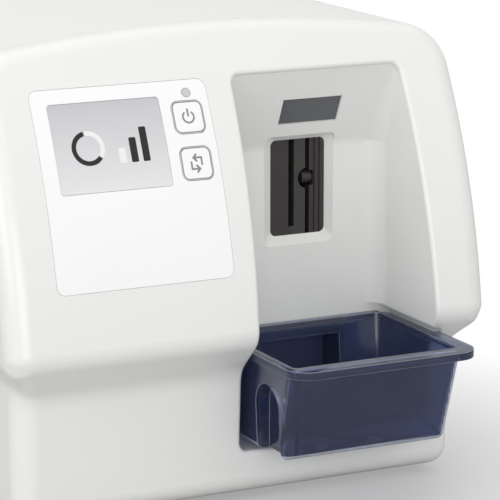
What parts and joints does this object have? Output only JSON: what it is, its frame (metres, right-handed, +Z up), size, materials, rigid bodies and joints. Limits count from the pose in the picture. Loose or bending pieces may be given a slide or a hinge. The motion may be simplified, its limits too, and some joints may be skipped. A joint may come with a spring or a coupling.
{
  "type": "phosphor plate scanner",
  "caption": "White desktop scanner for imaging plates: a control face with display and keys, a plate slot in a tall recess, and a dark pull-out tray below it.",
  "frame": {"origin": "centre of the bounding box's base, on the plane that the feet stand on, with the tray in", "axes": "+X to the right as the user faces the front, +Y to the rear, +Z up"},
  "size_m": [0.213, 0.32, 0.1952],
  "materials": {
    "shell": "white satin moulding",
    "overlay": "printed white film",
    "keys": "white with grey symbols",
    "lens": "milky light pipe",
    "display": "pale backlit display window",
    "lcd": "pale display module",
    "insert": "dark grey",
    "tint": "smoked window",
    "tray": "dark blue, slightly see-through",
    "panel": "light grey, fine texture",
    "rubber": "matt",
    "screws": "zinc",
    "circuit": "green board",
    "switches": "black",
    "ribbon": "grey flat cable",
    "steel": "ground",
    "sheet": "grey sheet metal",
    "standoff": "turned",
    "motors": "black with bare ends",
    "carriage": "filled plastic",
    "brass": "turned",
    "magnet": "plated magnet",
    "laser": "anodised",
    "mirror": "polished facets",
    "guide": "clear acrylic",
    "detector": "light-tight black",
    "lamps": "clear over yellow",
    "ports": "black"
  },
  "bodies": {
    "housing": {"base_pan": "shell", "bezel_screws": "screws", "board_standoffs": "standoff", "chassis_plate": "sheet", "chassis_posts": "standoff", "chassis_screws": "screws", "control_overlay": "overlay", "dc_inlet": "ports", "detector_board": "circuit", "detector_housing": "detector", "detector_tube": "guide", "display_module": "lcd", "display_window": "display", "drop_chute": "detector", "erase_lamp_board": "circuit", "erase_lamps": "lamps", "flap_pin": "steel", "front_bezel": "shell", "front_bracket": "sheet", "front_panel_board": "circuit", "guide_rods": "steel", "housing_screws": "screws", "key_switches": "switches", "laser_clamp": "laser", "laser_module": "laser", "light_guide": "guide", "main_board": "circuit", "mirror_motor": "motors", "network_jack": "ports", "optics_bracket": "sheet", "panel_ribbon": "ribbon", "plate_rail": "insert", "plate_sensor": "switches", "rear_bracket": "sheet", "rear_panel": "panel", "rubber_feet": "rubber", "screw_bearing": "brass", "shutter_solenoid": "motors", "slot_gate": "insert", "slot_insert": "insert", "status_lens": "lens", "stepper_motor": "motors", "tinted_window": "tint", "top_cover": "shell", "window_light_board": "circuit"},
    "power_key": {"power_key": "keys"},
    "cycle_key": {"cycle_key": "keys"},
    "shutter": {"slot_shutter": "insert", "shutter_plunger": "steel"},
    "carriage": {"plate_carriage": "carriage", "carriage_bushes": "brass", "carriage_nut": "brass", "magnet_finger": "carriage", "finger_magnet": "magnet"},
    "lead_screw": {"lead_screw": "steel"},
    "mirror": {"scan_mirror": "mirror", "mirror_spindle": "steel"},
    "flap": {"drop_flap": "switches"},
    "tray": {"collection_tray": "tray"}
  },
  "joints": [
    {"name": "power_press", "type": "slide", "parent": "housing", "child": "power_key", "axis": [0, 0.915, -0.4035], "range_m": [0, 0.0006], "stiffness_N_per_m": 400, "springref_m": -0.0006},
    {"name": "cycle_press", "type": "slide", "parent": "housing", "child": "cycle_key", "axis": [0, 0.915, -0.4035], "range_m": [0, 0.0006], "stiffness_N_per_m": 400, "springref_m": -0.0006},
    {"name": "shutter_slide", "type": "slide", "parent": "housing", "child": "shutter", "axis": [1, 0, 0], "range_m": [0, 0.0046], "stiffness_N_per_m": 60, "springref_m": -0.001},
    {"name": "carriage_slide", "type": "slide", "parent": "housing", "child": "carriage", "axis": [0, 1, 0], "range_m": [0, 0.075]},
    {"name": "screw_spin", "type": "hinge", "parent": "housing", "child": "lead_screw", "pos_m": [0.084, 0, 0.126], "axis": [0, 1, 0], "range_deg": [0, 3380]},
    {"name": "mirror_spin", "type": "hinge", "parent": "housing", "child": "mirror", "pos_m": [-0.022, 0, 0.1153], "axis": [0, 1, 0], "continuous": true},
    {"name": "flap_swing", "type": "hinge", "parent": "housing", "child": "flap", "pos_m": [0.0408, -0.0624, 0.061], "axis": [-1, 0, 0], "range_deg": [0, 35]},
    {"name": "tray_slide", "type": "slide", "parent": "housing", "child": "tray", "axis": [0, -1, 0], "range_m": [0, 0.06]}
  ],
  "couplings": [
    {"joint": "screw_spin", "follows": "carriage_slide", "rad_per_m": 785.4}
  ]
}
